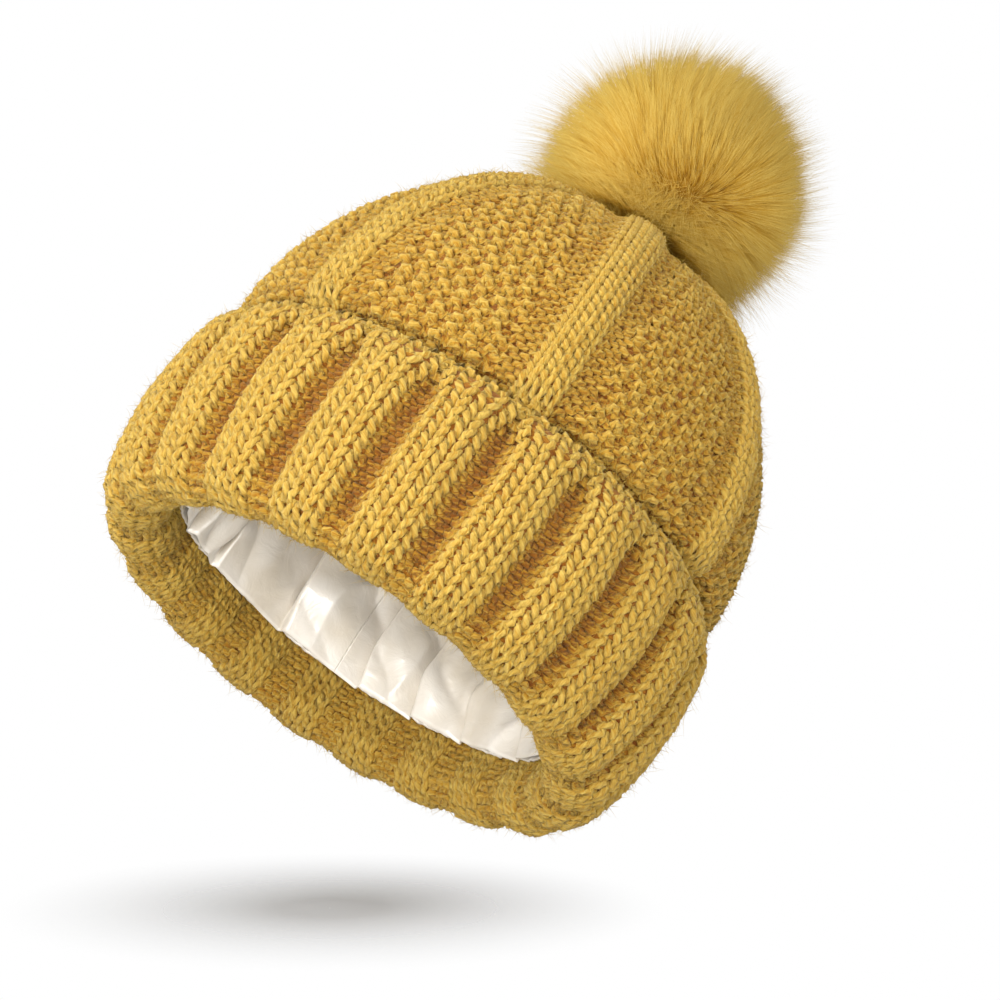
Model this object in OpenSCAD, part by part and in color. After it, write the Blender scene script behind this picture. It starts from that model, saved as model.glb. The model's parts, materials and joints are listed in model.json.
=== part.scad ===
// Chunky knitted winter hat with a deep turned-up cuff, a satin lining and a
// faux-fur pompom held on by a press stud. It stands on the fold of its cuff.
// +Z is up through the crown, the front is -Y, and the origin is the centre of
// the head opening on the plane that the fold rests on.

/* [Opening and crown] */
// Inside radius of the head opening, at the fold
opening_r = 75; // [62:0.5:92]
// Height of the knitted crown over the resting plane
crown_h = 186; // [150:1:230]
// How much wider than the opening the crown is at its fullest, outside
crown_flare = 23; // [20:0.5:30]
// Height over the cuff at which the crown is fullest
crown_full_rise = 8; // [5:0.5:14]
// Roundness of the crown's shoulder: 1 is an ellipse, more is slacker
crown_round = 1.15; // [1:0.05:1.4]
// Radius of the flat spot at the top, where the loops are drawn together
crown_flat_r = 15; // [13.5:0.5:20]

/* [Knitting] */
// Thickness of one layer of the chunky ribbed knit
knit_t = 5.6; // [4:0.1:7]
// Radius of the hole that is left where the crown's loops are gathered
gather_r = 6; // [5:0.1:8]
// Radius of the doubled yarn that gathers the crown
gather_yarn_r = 1.5; // [1:0.1:1.8]
// Width of the seam yarn up the back
back_seam_w = 4; // [2:0.5:6]
// How far the seam yarn stands out
back_seam_t = 1; // [0.5:0.1:1.5]

/* [Cuff] */
// Height of the turned-up cuff
cuff_h = 77; // [60:1:95]
// Width over both layers at the fold
fold_w = 23; // [18:0.5:28]
// Height at which the rounded fold ends and the straight layers begin
fold_h = 12; // [9:0.5:15]
// Thickness of the fold's underside that is pressed flat where it rests
fold_flat = 0.5; // [0.3:0.1:1]
// How far the cuff puffs out between its fold and its top edge
cuff_puff = 4.9; // [2:0.1:8]
// How far the top of the cuff draws the layer behind it in
cuff_tuck = 5; // [3:0.5:7]
// Air between the two layers at the cuff's top edge
layer_gap = 0.4; // [0.2:0.1:1]

/* [Lining] */
// Height of the lining's lower edge over the resting plane
lining_z = 22; // [16:1:30]
// Thickness that the gathered satin takes up
lining_t = 1.2; // [0.8:0.1:2]
// Ease between the satin and the knit
lining_ease = 0.2; // [0.1:0.1:0.6]
// Height of the seam between the lining's sides and its crown
lining_seam_z = 140; // [125:1:150]
// Height of the doubled hem at the lining's lower edge
hem_h = 6; // [4:0.5:10]
// Width of each sewn line up the sides of the lining
seam_w = 1.6; // [1:0.1:3]
// Radius of the sewing thread, drawn up into a cord by its stitches
thread_r = 0.5; // [0.3:0.1:0.8]

/* [Press stud] */
// Outside radius of both halves of the press stud
snap_r = 7.5; // [6.5:0.1:9]
// Height of the socket half
socket_h = 3.6; // [3:0.1:4.5]
// Thickness of the sheet that the press stud is formed from
snap_wall = 0.9; // [0.7:0.1:1]
// Radius of the stud's head
stud_r = 4; // [3.4:0.1:4.5]
// Radius of the spring wire in the socket
spring_wire_r = 0.45; // [0.3:0.05:0.5]
// Radius of the eyelet's tube, which holds the socket half
eyelet_r = 2.4; // [2:0.1:2.6]
// Radius of the rivet that holds the stud half
rivet_r = 1.8; // [1.4:0.1:1.9]
// Height of the rivet's domed cap
cap_h = 2.2; // [1.6:0.1:2.4]
// Running clearance in the press stud
snap_gap = 0.3; // [0.2:0.05:0.4]
// Radius of the felt patch that backs the socket
patch_r = 14; // [11:0.5:15]
// Thickness of the felt patch
patch_t = 1.6; // [1:0.1:2.5]

/* [Pompom] */
// Radius of the pompom to the dense part of its pile
pom_r = 45; // [38:0.5:54]
// Height of the pompom's middle over the lean point under it
pom_rise = 20; // [18:0.5:26]
// Radius of the stuffed ball inside
core_r = 22; // [19:0.5:27]
// Thickness of the fur's backing cloth
backing_t = 1.2; // [0.8:0.1:2]
// Radius of the base disc that the press stud is set in
base_r = 13; // [10.5:0.5:14]
// Thickness of the base disc
base_t = 1.4; // [1:0.1:2]
// Height of the lean point over the base disc
lean_rise = 3.6; // [3.2:0.1:4.5]
// Depth of the hollow in the pompom's gathered underside
hollow_h = 3.4; // [3.3:0.1:4.5]
// Clearance round the base disc in that hollow
hollow_gap = 1.5; // [1:0.1:3]
// Slope of the underside, which leaves room to lean
under_slope = 2; // [1:0.5:8]
// Radius of the ring that the drawn-up thread makes
tie_ring_r = 7.5; // [7:0.1:8]
// Radius of the drawn-up thread
tie_r = 1; // [0.7:0.1:1.1]

/* [Hidden] */
$fn = 96;

steps = 14;                                   // points along each curved outline
foot_steps = 8;                               // points along the short curve over the cuff
band_bend = 1.3;                              // how late the band widens on its way up: 1 is straight
knit_parting = 0.01;                          // parting between the band and the crown, knitted as one
gather_bite = 0.2;                            // how far the gathering yarn is drawn into the loops
stitch_bite = 0.005;                          // how far the sewing thread is drawn into the satin
seam_end = 2;                                 // where the lining's side seams stop short of its crown
knit_colour = "#CDA032";
fur_colour = "#D6AA3C";
satin_colour = "#E8E4DE";
thread_colour = "#D9D2C6";
metal_colour = "#B9B4A8";

// Radii and heights that the sizes above fix
crown_r = opening_r + crown_flare;            // fullest outside radius of the crown
join_r = crown_r - cuff_tuck;                 // outside radius where the cuff's top edge draws it in
join_z = cuff_h + 1;                          // where the band behind the cuff becomes the crown
full_z = cuff_h + crown_full_rise;            // where the crown is fullest
fold_mid_r = opening_r + fold_w / 2;
band_r0 = opening_r + knit_t;                 // outside radius of the inner layer at the fold
cuff_r0 = opening_r + fold_w;                 // outside radius of the cuff at the fold
edge_r = knit_t / 2;                          // round of the cuff's top edge
cuff_top_r = join_r + layer_gap + knit_t;     // outside radius of the cuff at its top edge
cuff_z1 = cuff_h - edge_r;
satin_d = knit_t + lining_ease;                // how far inside the knit's outer face the satin lies
lining_top = crown_h - satin_d - patch_t - snap_wall;

// Heights in the stack at the top, from the knit up
socket_z = crown_h;
stud_flange_z = socket_z + socket_h + snap_gap;
base_z = stud_flange_z + snap_wall;
cap_z = base_z + base_t;
lean_z = cap_z + lean_rise;                   // both lean axes cross here
pom_z = lean_z + pom_rise;
post_z = crown_h - knit_t - patch_t - snap_wall;

// Radii and heights in the press stud
post_flange_r = snap_r - 0.5;                 // the eyelet's flange, a little narrower than the socket
shoulder_z = 0.7 * socket_h;                  // where the socket's wall turns in to its mouth
mouth_r = stud_r + snap_gap;
groove_r = snap_r - 1.5 * snap_wall;          // reach of the groove that keeps the spring in
spring_z = socket_z + socket_h / 2;
head_z = socket_z + snap_wall + snap_gap;     // underside of the stud's head
head_bevel = 0.5;
head_top_z = spring_z + 0.3;                  // the head ends just over the spring
neck_r = stud_r - 0.4;
neck_z = head_top_z + head_bevel;
cap_r = snap_r - 1.5;
cap_ball_r = (cap_r * cap_r + cap_h * cap_h) / (2 * cap_h);
rivet_end = 0.5;                              // how far the rivet reaches into its cap

// The pompom's hollow clears the base disc and opens as wide as the backing is there
hollow_r = max(base_r + hollow_gap, sqrt(pow(core_r + backing_t, 2) - pow(pom_rise - hollow_h, 2)));

// Outline curves, each a list of [radius, height]
function steps_of(n) = [for (i = [0 : n]) i / n];
function mix(a, b, s) = a + (b - a) * s;
function band_curve() = [for (s = steps_of(steps))
    [mix(band_r0, join_r, pow(s, band_bend)), mix(fold_h, join_z, s)]];
function cuff_curve() = [for (s = steps_of(steps))
    [mix(cuff_r0, cuff_top_r, s) + cuff_puff * sin(180 * s), mix(fold_h, cuff_z1, s)]];
function crown_foot() = [for (s = steps_of(foot_steps))
    [mix(join_r, crown_r, (1 - cos(180 * s)) / 2), mix(join_z, full_z, s)]];
function crown_dome() = [for (s = steps_of(2 * steps))
    [mix(crown_flat_r, crown_r, pow(cos(90 * s), crown_round)), mix(full_z, crown_h, sin(90 * s))]];

// A curve moved level, or square to itself, to the outside for d > 0
function level(p, d) = [for (q = p) q + [d, 0]];
function along(p, i) = p[min(i + 1, len(p) - 1)] - p[max(i - 1, 0)];
function unit(v) = v / norm(v);
function square_to(p, d) = [for (i = [0 : len(p) - 1]) let (v = unit(along(p, i))) p[i] + d * [v[1], -v[0]]];
function rest_of(p) = [for (i = [1 : len(p) - 1]) p[i]];
function reversed(p) = [for (i = [len(p) - 1 : -1 : 0]) p[i]];
function crossing(p, z) = [for (i = [1 : len(p) - 1]) if (p[i - 1][1] < z && p[i][1] >= z)
    mix(p[i - 1], p[i], (z - p[i - 1][1]) / (p[i][1] - p[i - 1][1]))];
function inside(p, z0, z1) = [for (q = p) if (q[1] > z0 && q[1] < z1) q];
function between(p, z0, z1) = concat(crossing(p, z0), inside(p, z0, z1), crossing(p, z1));

// The whole wall from the fold to the top, d inside its outer face
function wall(d) = concat(level(band_curve(), -d), rest_of(level(crown_foot(), -d)),
    rest_of(square_to(crown_dome(), -d)));
function wall_layer(d0, d1, z0, z1) = concat(between(wall(d0), z0, z1), reversed(between(wall(d1), z0, z1)));
function cuff_layer(d0, d1) = concat(level(cuff_curve(), -d0), reversed(level(cuff_curve(), -d1)));
// The same, closed over the top by a flat that reaches in to a radius
function dome_layer(d0, d1, z0, top, t, reach) = concat(between(wall(d0), z0, top),
    [[reach, top], [reach, top - t]], reversed(between(wall(d1), z0, top - t)));
// The middle of a thread that lies on the wall's layer d, at a height
function thread_on(d, z) = let (at = crossing(wall(d), z)[0], v = unit(along_wall(d, z)))
    at + (thread_r - stitch_bite) * [-v[1], v[0]];
function along_wall(d, z) = [for (p = [wall(d)], i = [1 : len(p) - 1])
    if (p[i - 1][1] < z && p[i][1] >= z) p[i] - p[i - 1]][0];

module revolved(outline) rotate_extrude() polygon(outline);
module ring(r, z, wire) translate([0, 0, z]) rotate_extrude() translate([r, 0]) circle(wire);
module disc(r, z, h, hole = 0) translate([0, 0, z]) difference() {
    cylinder(r = r, h = h);
    if (hole > 0) translate([0, 0, -1]) cylinder(r = hole, h = h + 2);
}
// A narrow strip that runs up an outline, centred on an angle
module strip(outline, width, at) {
    turn = width / opening_r * 180 / PI;
    rotate([0, 0, at - turn / 2]) rotate_extrude(angle = turn) polygon(outline);
}

// Crown: the knit above the cuff, gathered at the top
module knit_crown() color(knit_colour)
    revolved(dome_layer(0, knit_t, join_z + knit_parting, crown_h, knit_t, gather_r));
// Inner layer of the band, which touches the head
module knit_band() color(knit_colour)
    revolved(concat(band_curve(), reversed(level(band_curve(), -knit_t))));
// Rounded fold, pressed flat where it rests
module knit_fold() color(knit_colour) rotate_extrude() intersection() {
    translate([fold_mid_r, fold_h]) difference() {
        half_oval(fold_w / 2, fold_h + fold_flat);
        half_oval(fold_w / 2 - knit_t, fold_h - knit_t);
    }
    translate([fold_mid_r - fold_w, 0]) square([2 * fold_w, fold_h]);
}
module half_oval(a, b) polygon([for (s = steps_of(2 * steps)) [-a * cos(180 * s), -b * sin(180 * s)]]);
// Outer layer, turned up so that its wrong side shows
module knit_cuff() color(knit_colour) revolved(cuff_layer(0, knit_t));
// Cast-on loops along the cuff's free edge
module cast_on_edge() color(knit_colour) rotate_extrude() intersection() {
    translate([cuff_top_r - edge_r, cuff_z1]) circle(edge_r);
    translate([cuff_top_r - knit_t, cuff_z1]) square([knit_t, knit_t]);
}
// Yarn that joins the knit up the back, on the crown and on the cuff
module back_seam() color(knit_colour) {
    strip(wall_layer(-back_seam_t, 0, full_z, crown_h - knit_t), back_seam_w, 90);
    strip(cuff_layer(-back_seam_t, 0), back_seam_w, 90);
}
// Doubled yarn through the last loops of the crown
module crown_gather_yarn() color(knit_colour)
    ring(gather_r - gather_yarn_r + gather_bite, crown_h - knit_t / 2, gather_yarn_r);

// Satin sides, two halves sewn together front and back
module lining_half(at) color(satin_colour) rotate([0, 0, at]) rotate_extrude(angle = 180)
    polygon(wall_layer(satin_d, satin_d + lining_t, lining_z, lining_seam_z));
module lining_left() lining_half(90);
module lining_right() lining_half(-90);
// Satin crown
module lining_crown() color(satin_colour)
    revolved(dome_layer(satin_d, satin_d + lining_t, lining_seam_z, lining_top, lining_t, 0));
// Sewn lines up the lining, front and back
module lining_side_seams() {
    on = satin_d + lining_t;
    sewn = wall_layer(on, on + thread_r, lining_z + hem_h, lining_seam_z - seam_end);
    color(thread_colour) for (at = [90, -90]) strip(sewn, seam_w, at);
}
// Sewn line between the sides and the crown of the lining
module lining_crown_seam() {
    at = thread_on(satin_d + lining_t, lining_seam_z);
    color(thread_colour) ring(at[0], at[1], thread_r);
}
// Doubled satin hem at the lower edge
module lining_hem() color(satin_colour)
    revolved(wall_layer(satin_d + lining_t, satin_d + 2 * lining_t, lining_z, lining_z + hem_h));
// Thread that sews the hem to the band
module lining_stitches() {
    at = thread_on(satin_d + 2 * lining_t, lining_z + hem_h / 2);
    color(thread_colour) ring(at[0], at[1], thread_r);
}

// Felt patch that takes the pull of the press stud
module crown_patch() color("#6F5B2A") disc(patch_r, crown_h - knit_t - patch_t, patch_t, eyelet_r);
// Eyelet that clamps patch, knit and socket together
module snap_post() color(metal_colour) union() {
    disc(post_flange_r, post_z, snap_wall);
    disc(eyelet_r, post_z + snap_wall / 2, socket_z - post_z + snap_wall / 2);
}
// Socket half, with a rolled mouth that keeps its spring in
module snap_socket() color(metal_colour) translate([0, 0, socket_z]) rotate_extrude() difference() {
    polygon([[eyelet_r, 0], [snap_r, 0], [snap_r, shoulder_z], [snap_r - snap_wall, socket_h],
        [mouth_r, socket_h], [mouth_r, snap_wall], [eyelet_r, snap_wall]]);
    translate([0, snap_wall]) square([groove_r, socket_h - 2 * snap_wall]);
}
// Spring ring, loose in the socket, that grips the stud and turns with it
module snap_spring() color("#8F8B82") ring(stud_r + spring_wire_r + snap_gap / 2, spring_z, spring_wire_r);
// Stud half under the pompom
module snap_stud() color(metal_colour) rotate_extrude() polygon([
    [rivet_r, head_z], [stud_r - head_bevel, head_z], [stud_r, head_z + head_bevel], [stud_r, head_top_z],
    [neck_r, neck_z], [neck_r, stud_flange_z], [snap_r, stud_flange_z], [snap_r, base_z], [rivet_r, base_z]]);
// Domed cap riveted through the base disc into the stud
module snap_cap() color(metal_colour) union() {
    translate([0, 0, cap_z]) rotate_extrude() intersection() {
        translate([0, cap_h - cap_ball_r]) circle(cap_ball_r);
        square([cap_r, cap_h]);
    }
    disc(rivet_r, spring_z, cap_z + rivet_end - spring_z);
}
// Base disc of the pompom, clamped between the stud and its cap
module pom_base() color("#7A6128") disc(base_r, base_z, base_t, rivet_r);
// Thread drawn tight round the pompom's neck and sewn through its base
module pom_tie() color("#C9A24A") union() {
    ring(tie_ring_r, lean_z, tie_r);
    disc(tie_ring_r, lean_z - tie_r / 2, tie_r);
    translate([0, 0, lean_z]) intersection() {
        sphere(hollow_h - snap_gap);
        cylinder(r = hollow_h, h = hollow_h);
    }
}

// Everything in the pompom stays over its sloped underside
module over_slope() translate([0, lean_z])
    polygon([[0, 0], [pom_r, pom_r * tan(under_slope)], [pom_r, 3 * pom_r], [0, 3 * pom_r]]);
// Backing cloth of the fur, gathered closed underneath
module pom_backing() color("#B58A2E") rotate_extrude() difference() {
    core_slice(core_r + backing_t, lean_z + hollow_h);
    core_slice(core_r, lean_z + hollow_h + backing_t);
}
// Loose polyester stuffing
module pom_filling() color("#F2EFE6") rotate_extrude() core_slice(core_r, lean_z + hollow_h + backing_t);
module core_slice(r, floor_z) intersection() {
    translate([0, pom_z]) circle(r);
    translate([0, floor_z]) square([r, 2 * r]);
}
// Long dense pile
module pom_fur() color(fur_colour) rotate_extrude() difference() {
    intersection() {
        translate([0, pom_z]) circle(pom_r);
        over_slope();
    }
    core_slice(core_r + backing_t, lean_z + hollow_h);
    translate([0, lean_z - 1]) square([hollow_r, hollow_h + 1]);
}

knit_crown();
knit_band();
knit_fold();
knit_cuff();
cast_on_edge();
back_seam();
crown_gather_yarn();
lining_left();
lining_right();
lining_crown();
lining_side_seams();
lining_crown_seam();
lining_hem();
lining_stitches();
crown_patch();
snap_post();
snap_socket();
snap_spring();
snap_stud();
snap_cap();
pom_base();
pom_tie();
pom_backing();
pom_filling();
pom_fur();
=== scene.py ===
import json
import math

import bpy
import numpy as np
from mathutils import Matrix, Vector


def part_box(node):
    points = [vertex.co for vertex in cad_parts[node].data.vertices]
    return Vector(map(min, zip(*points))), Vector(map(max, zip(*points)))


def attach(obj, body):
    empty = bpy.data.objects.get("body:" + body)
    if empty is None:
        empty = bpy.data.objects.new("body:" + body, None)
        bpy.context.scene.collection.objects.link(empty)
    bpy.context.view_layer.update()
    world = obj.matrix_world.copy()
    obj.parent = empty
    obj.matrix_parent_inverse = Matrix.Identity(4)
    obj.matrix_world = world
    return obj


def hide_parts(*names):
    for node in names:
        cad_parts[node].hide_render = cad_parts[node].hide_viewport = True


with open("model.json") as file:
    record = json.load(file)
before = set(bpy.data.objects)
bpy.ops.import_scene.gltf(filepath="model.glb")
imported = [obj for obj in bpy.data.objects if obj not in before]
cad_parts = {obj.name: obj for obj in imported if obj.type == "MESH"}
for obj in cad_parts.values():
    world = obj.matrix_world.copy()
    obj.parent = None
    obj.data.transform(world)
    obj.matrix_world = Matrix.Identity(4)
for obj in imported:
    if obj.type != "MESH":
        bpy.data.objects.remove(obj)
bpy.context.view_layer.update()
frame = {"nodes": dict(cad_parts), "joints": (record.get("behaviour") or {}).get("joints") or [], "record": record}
MM = 0.001

# ---------------------------------------------------------------------------
# The view. The hat is shown as a packshot shows it: seen from a little below the brim, so that the
# lining shows, and leaning to the right. The camera takes the lean, as the hat itself stands upright.
BELOW_DEG = 21.5
LEAN_DEG = 35.0
VIEW_WIDTH = 1 / 3                      # metres of the hat's own plane that the view spans
CAMERA_AWAY = 1.5

rest_view = Vector((0, -math.cos(math.radians(BELOW_DEG)), -math.sin(math.radians(BELOW_DEG))))
level_right = Vector((1, 0, 0))
level_up = level_right.cross(rest_view) * -1
lean = math.radians(LEAN_DEG)
view_right = math.cos(lean) * level_right + math.sin(lean) * level_up
view_up = math.cos(lean) * level_up - math.sin(lean) * level_right


def in_view(right, up, towards=0.0):
    """A point given in millimetres to the right of, over and towards the camera from the opening's centre."""
    return (view_right * right + view_up * up + rest_view * towards) * MM


view_middle = in_view(54.7, 56)
camera = bpy.data.objects.new("camera", bpy.data.cameras.new("camera"))
bpy.context.scene.collection.objects.link(camera)
camera.matrix_world = Matrix.Translation(view_middle + rest_view * CAMERA_AWAY) @ Matrix(
    (view_right, view_up, rest_view)).transposed().to_4x4()
camera.data.sensor_width = 36
camera.data.lens = camera.data.sensor_width * CAMERA_AWAY / VIEW_WIDTH
camera.data.clip_start = 0.05
bpy.context.scene.camera = camera
bpy.context.scene.view_settings.view_transform = "Standard"


# ---------------------------------------------------------------------------
# Light. A white studio cove: large soft panels over the left shoulder and the front, a weak one from
# the right, and a bright white surround that the camera sees as plain white.
def linear(code):
    """An sRGB hex colour as the linear RGBA that a shader takes."""
    parts = [int(code[i:i + 2], 16) / 255 for i in (1, 3, 5)]
    return [c / 12.92 if c <= 0.04045 else ((c + 0.055) / 1.055) ** 2.4 for c in parts] + [1.0]


def node(tree, kind, settings=(), **links):
    """A node with its settings and inputs. An input is a value, or another node's output to link."""
    made = tree.nodes.new(kind)
    for name, value in dict(settings).items():
        setattr(made, name, value)
    for name, value in links.items():
        key = int(name[1:]) if name[1:].isdigit() else name.replace("_", " ")
        socket = made.inputs[key]
        if isinstance(value, bpy.types.NodeSocket):
            tree.links.new(value, socket)
        else:
            socket.default_value = value
    return made


def panel(name, right, up, towards, size, watts):
    """A soft light panel at a place in the view, turned to the hat."""
    lamp = bpy.data.lights.new(name, "AREA")
    lamp.shape = "DISK"
    lamp.size = size
    lamp.energy = watts
    made = bpy.data.objects.new(name, lamp)
    bpy.context.scene.collection.objects.link(made)
    made.location = view_middle + in_view(right, up, towards)
    made.rotation_euler = (view_middle - made.location).to_track_quat("-Z", "Y").to_euler()


panel("key_panel", -520, 760, 520, 0.6, 10)
panel("front_panel", -160, 20, 1100, 0.6, 9)
panel("right_panel", 900, 260, 500, 0.7, 6)
panel("low_panel", -420, -120, 800, 0.6, 4)

cove = bpy.data.worlds.new("studio_cove")
bpy.context.scene.world = cove
cove.use_nodes = True
tree = cove.node_tree
tree.nodes.clear()
seen = node(tree, "ShaderNodeBackground", Color=(1, 1, 1, 1), Strength=1.0)
glow = node(tree, "ShaderNodeBackground", Color=(1, 0.985, 0.96, 1), Strength=0.6)
rays = node(tree, "ShaderNodeLightPath")
both = node(tree, "ShaderNodeMixShader", i0=rays.outputs["Is Camera Ray"], i1=glow.outputs[0],
            i2=seen.outputs[0])
node(tree, "ShaderNodeOutputWorld", Surface=both.outputs[0])


# ---------------------------------------------------------------------------
# The knitted cloth: one chunky mustard acrylic yarn of three plies, knitted in a tube of 126 stitches
# round from the cast-on edge of the cuff, over the fold and up to the crown. The cuff is turned up, so
# that its wrong side shows. Each round of loops is modelled as the yarn really runs.
WALES, PANELS, RIB = 126, 7, 3          # stitches in a round, panels of the crown, stitches in a rib
ROW = 4.35                              # height that a round adds, in millimetres as all sizes here are
LOOP_H = 7.0                            # height of a loop, which reaches into the rounds beside it
LOOP_LEAN = 0.235                       # how far a loop's legs swing to its sides, in stitches
LOOP_DEPTH = 1.2                        # how far a plain loop's legs stand out and its head lies back
BUMP_H = 0.95                           # height of a moss stitch's bump
YARN_R = 1.45
PLIES = 3
TWIST = 9.0                             # length of yarn in which its plies turn once
KNIT_T = 5.6
STEPS = 12                              # points along the yarn in a loop
FLAT_R = 15.0                           # radius at which the crown's dome ends in its gathered top
ROLL_R = 1.7                            # radius of the roll that the cast-on edge makes
COLUMN_AT = -math.pi / 2 + math.radians(1.5)
FIRST_ROW = 2.2                         # distance of the first round from the edge
random = np.random.default_rng(7)


def mix(a, b, s):
    return a + (b - a) * s


def ease(x, start, end):
    """0 before start, 1 after end, smooth between."""
    s = np.clip((x - start) / (end - start), 0, 1)
    return s * s * (3 - 2 * s)


def round_axis(r, angle, z):
    """Points at radii, turned by angles about the hat's own axis, at heights."""
    return np.stack(np.broadcast_arrays(r * np.cos(angle), r * np.sin(angle), z), -1)


def box_mm(name):
    low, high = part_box(name)
    return np.array(low) / MM, np.array(high) / MM


cuff_high = box_mm("knit_cuff")[1]
edge_high = box_mm("cast_on_edge")[1]
fold_high = box_mm("knit_fold")[1]
band_high = box_mm("knit_band")[1]
crown_low, crown_high = box_mm("knit_crown")
fold_mid = frame["record"]["mounts"][0]["pos_m"][0] / MM
fold_w = 2 * (fold_high[0] - fold_mid)
band_r0 = fold_high[0] - fold_w + KNIT_T
full_z = crown_low[2] + 7


def knit_outline():
    """The middle of the knit from its cast-on edge to its top, [radius, height] every quarter millimetre."""
    s = np.linspace(0, 1, 200)
    roll = s[:-1] * math.pi
    edge = np.stack([edge_high[0] - KNIT_T / 2 - ROLL_R - ROLL_R * np.cos(roll),
                     edge_high[2] - 2 * ROLL_R + ROLL_R * np.sin(roll)], 1)
    edge = np.concatenate([edge[:1] - [[-0.3, 7]], edge])
    cuff_s = s[::-1] * (edge_high[2] - 2 * ROLL_R - fold_high[2]) / (cuff_high[2] - fold_high[2])
    cuff_mean = (fold_high[0] + edge_high[0]) / 2
    cuff = np.stack([mix(fold_high[0], edge_high[0], cuff_s)
                     + (cuff_high[0] - cuff_mean) * np.sin(math.pi * np.clip(cuff_s, 0, 1)) - KNIT_T / 2,
                     mix(fold_high[2], cuff_high[2], cuff_s)], 1)
    turn = s[1:-1] * math.pi
    fold = np.stack([fold_mid + (fold_w - KNIT_T) / 2 * np.cos(turn),
                     fold_high[2] - (fold_high[2] - 3.9) * np.sin(turn)], 1)
    band = np.stack([mix(band_r0, band_high[0], s ** 1.3) - KNIT_T / 2,
                     mix(fold_high[2], crown_low[2], s)], 1)
    foot = np.stack([mix(band_high[0], crown_high[0], (1 - np.cos(math.pi * s)) / 2) - KNIT_T / 2,
                     mix(crown_low[2], full_z, s)], 1)
    rise = s[1:] * math.pi / 2
    dome = np.stack([mix(FLAT_R, crown_high[0], np.cos(rise) ** 1.15),
                     mix(full_z, crown_high[2], np.sin(rise))], 1)
    along = np.gradient(dome, axis=0)
    along /= np.linalg.norm(along, axis=1)[:, None]
    dome = dome - KNIT_T / 2 * np.stack([along[:, 1], -along[:, 0]], 1)
    top = [[7.0, dome[-1, 1]]]
    line = np.concatenate([edge, cuff, fold, band[1:], foot[1:], dome, top])
    marks = np.cumsum([len(edge), len(cuff), len(fold), len(band) - 1])
    reach = np.concatenate([[0], np.cumsum(np.linalg.norm(np.diff(line, axis=0), axis=1))])
    even = np.arange(0, reach[-1], 0.25)
    line = np.stack([np.interp(even, reach, line[:, i]) for i in (0, 1)], 1)
    soft = np.hanning(17) / np.hanning(17).sum()
    padded = np.pad(line, ((8, 8), (0, 0)), mode="reflect", reflect_type="odd")
    line = np.stack([np.convolve(padded[:, i], soft, "valid") for i in (0, 1)], 1)
    return even, line, reach[marks]


outline_s, outline_rz, (cuff_start, fold_start, fold_end, crown_start) = knit_outline()
outline_dir = np.gradient(outline_rz, axis=0)
outline_dir /= np.linalg.norm(outline_dir, axis=1)[:, None]
rows = int((outline_s[-1] - 3) / ROW)


def on_outline(s):
    """Radius, height and the right side's direction on the knit at a distance from the cast-on edge."""
    r, z, dr, dz = (np.interp(s, outline_s, c) for c in (*outline_rz.T, *outline_dir.T))
    return r, z, dz, -dr


def row_at(j):
    return FIRST_ROW + j * ROW


def shown_side(s):
    """Which way the side that shows faces: the wrong side on the turned-up cuff and inside the band."""
    return np.where(s < crown_start - 2, -1.0, 1.0)


def rib_panel(j):
    """One panel of the ribbed cuff and band: knots from the column's middle, kinds, relief, names, bumps.
    Three plain stitches draw together into a round rib and three purl ones sink into a furrow between;
    at the cuff's edge the ribs close over each furrow."""
    s = row_at(j)
    on_cuff = 1 - ease(s, fold_start, fold_end)
    closing = 1 - ease(s, cuff_start + 4, cuff_start + 12)
    furrow = mix(2.66, 2.0, on_cuff) * (1 - 0.86 * closing)
    knots = np.arange(-3, 2 * 18 - 2) / 2
    group = np.floor((knots + 1.5) / 6)
    place = 6 * group - furrow / 2 + np.interp(knots + 1.5 - 6 * group, [0, 3, 6], [0, furrow, 6])
    kinds = np.where((np.arange(18) % 6) < 3, 1, -1)
    shape = np.sin((knots + 1.5) * math.pi / RIB)
    shape = np.sign(shape) * np.abs(shape) ** 0.6
    deep = mix(3.4, 0.6, ease(s, fold_start - 4, fold_start + 12))
    edge = 1 - ease(s, cuff_start + 1, cuff_start + 6)
    sunk = 1.15 * ease(s, cuff_start - 2, cuff_start + 2)
    out = np.where(shape > 0, shape * deep * sunk, shape * deep * (1 - 0.8 * edge)) - 0.4 * edge
    return place * 2 * math.pi / WALES, kinds, out, np.arange(18), np.zeros(18)


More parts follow.
